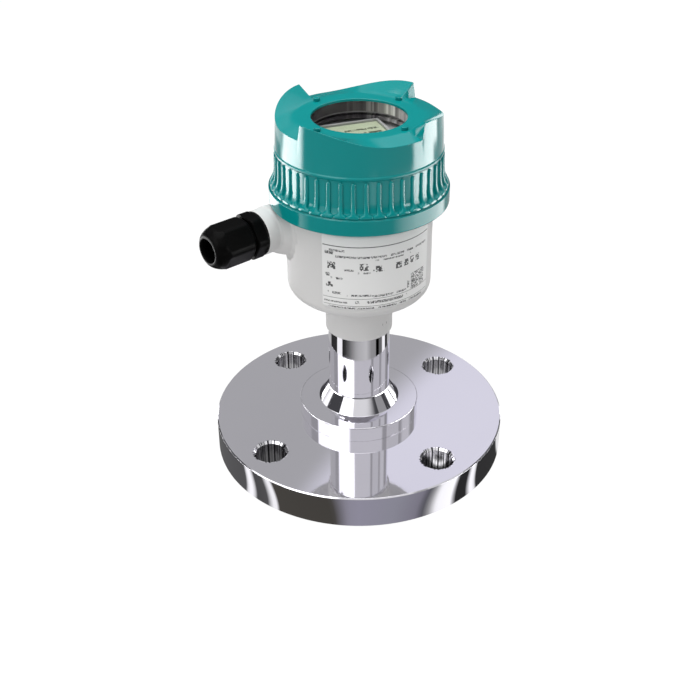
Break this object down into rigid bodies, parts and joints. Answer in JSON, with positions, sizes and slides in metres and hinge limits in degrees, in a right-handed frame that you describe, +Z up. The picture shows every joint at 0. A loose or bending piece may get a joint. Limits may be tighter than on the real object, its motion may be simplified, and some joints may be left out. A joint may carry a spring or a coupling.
{
  "type": "radar level transmitter",
  "caption": "Radar level transmitter with a drilled process flange, slim neck, swivelling housing, side cable gland and a ribbed screw lid with a display window.",
  "frame": {"origin": "centre of the sealing face under the flange", "axes": "+Z up through the neck and housing to the lid, -X out of the cable gland; the bolt holes lie on the X and Y axes"},
  "size_m": [0.14, 0.14, 0.1737],
  "materials": {
    "stainless_polished": "polished",
    "stainless_turned": "turned",
    "spring_steel": "blued",
    "screw_steel": "plated",
    "black_oxide_steel": "black oxide",
    "sleeve_chrome": "plated",
    "copper_alloy": "drawn",
    "earth_brass": "turned",
    "lens_plastic": "smooth",
    "housing_plastic": "satin moulded",
    "lid_plastic": "gloss",
    "black_plastic": "gloss",
    "dark_plastic": "moulded",
    "grey_plastic": "moulded",
    "terminal_plastic": "moulded",
    "key_plastic": "satin",
    "seal_rubber": "smooth",
    "label_film": "printed film",
    "window_glass": "clear",
    "board_resin": "solder mask",
    "component_case": "moulded",
    "screen_film": "screen",
    "screen_glass": "clear",
    "dome_metal": "pressed",
    "module_shield": "tinned"
  },
  "bodies": {
    "process_fitting": {"flange": "stainless_polished", "process_neck": "stainless_polished", "antenna_lens": "lens_plastic", "lens_seal": "seal_rubber", "horn_cone": "stainless_turned", "waveguide_tube": "copper_alloy", "neck_seal_ring": "seal_rubber", "swivel_circlip": "spring_steel"},
    "housing": {"housing_body": "housing_plastic", "swivel_lock_screw": "black_oxide_steel", "nameplate_label": "label_film", "gland_body": "black_plastic", "gland_gasket": "seal_rubber", "blanking_plug": "black_plastic", "plug_seal": "seal_rubber", "electronics_can": "dark_plastic", "radar_module": "module_shield", "main_board": "board_resin", "board_components": "component_case", "module_cover": "grey_plastic", "terminal_block": "terminal_plastic", "terminal_screws": "screw_steel", "earth_stud": "earth_brass", "earth_screw": "screw_steel", "display_carrier": "dark_plastic", "carrier_screws": "screw_steel"},
    "lid_seal": {"lid_seal": "seal_rubber"},
    "lid": {"lid_shell": "lid_plastic", "window_sleeve": "sleeve_chrome", "window_gasket": "seal_rubber", "window_pane": "window_glass", "window_retainer": "dark_plastic", "retainer_screws": "screw_steel"},
    "display_module": {"display_case": "dark_plastic", "display_board": "board_resin", "switch_domes": "dome_metal", "lcd_panel": "screen_film", "lcd_cover": "screen_glass", "display_frame": "dark_plastic"},
    "key_escape": {"key_escape": "key_plastic"},
    "key_minus": {"key_minus": "key_plastic"},
    "key_plus": {"key_plus": "key_plastic"},
    "key_enter": {"key_enter": "key_plastic"},
    "gland_insert": {"gland_seal_insert": "seal_rubber", "gland_clamp_cage": "grey_plastic"},
    "gland_nut": {"gland_nut": "black_plastic"}
  },
  "joints": [
    {"name": "housing_swivel", "type": "hinge", "parent": "process_fitting", "child": "housing", "pos_m": [0, 0, 0.066], "axis": [0, 0, 1], "range_deg": [-165, 165]},
    {"name": "lid_rise", "type": "slide", "parent": "housing", "child": "lid_seal", "axis": [0, 0, 1], "range_m": [0, 0.0121]},
    {"name": "lid_turn", "type": "hinge", "parent": "lid_seal", "child": "lid", "pos_m": [0, 0, 0.14], "axis": [0, 0, 1], "range_deg": [0, 1440]},
    {"name": "display_twist", "type": "hinge", "parent": "housing", "child": "display_module", "pos_m": [0, 0, 0.145], "axis": [0, 0, 1], "range_deg": [0, 30]},
    {"name": "key_escape_press", "type": "slide", "parent": "display_module", "child": "key_escape", "axis": [0, 0, -1], "range_m": [0, 0.0008], "stiffness_N_per_m": 400, "springref_m": -0.0004},
    {"name": "key_minus_press", "type": "slide", "parent": "display_module", "child": "key_minus", "axis": [0, 0, -1], "range_m": [0, 0.0008], "stiffness_N_per_m": 400, "springref_m": -0.0004},
    {"name": "key_plus_press", "type": "slide", "parent": "display_module", "child": "key_plus", "axis": [0, 0, -1], "range_m": [0, 0.0008], "stiffness_N_per_m": 400, "springref_m": -0.0004},
    {"name": "key_enter_press", "type": "slide", "parent": "display_module", "child": "key_enter", "axis": [0, 0, -1], "range_m": [0, 0.0008], "stiffness_N_per_m": 400, "springref_m": -0.0004},
    {"name": "gland_insert_out", "type": "slide", "parent": "housing", "child": "gland_insert", "axis": [-1, 0, 0], "range_m": [0, 0.0045]},
    {"name": "gland_nut_turn", "type": "hinge", "parent": "gland_insert", "child": "gland_nut", "pos_m": [-0.055, 0.019, 0.119], "axis": [-1, 0, 0], "range_deg": [0, 1090]}
  ],
  "couplings": [
    {"joint": "lid_rise", "follows": "lid_turn", "m_per_rad": 0.00047746},
    {"joint": "gland_nut_turn", "follows": "gland_insert_out", "rad_per_m": 4188.8}
  ]
}
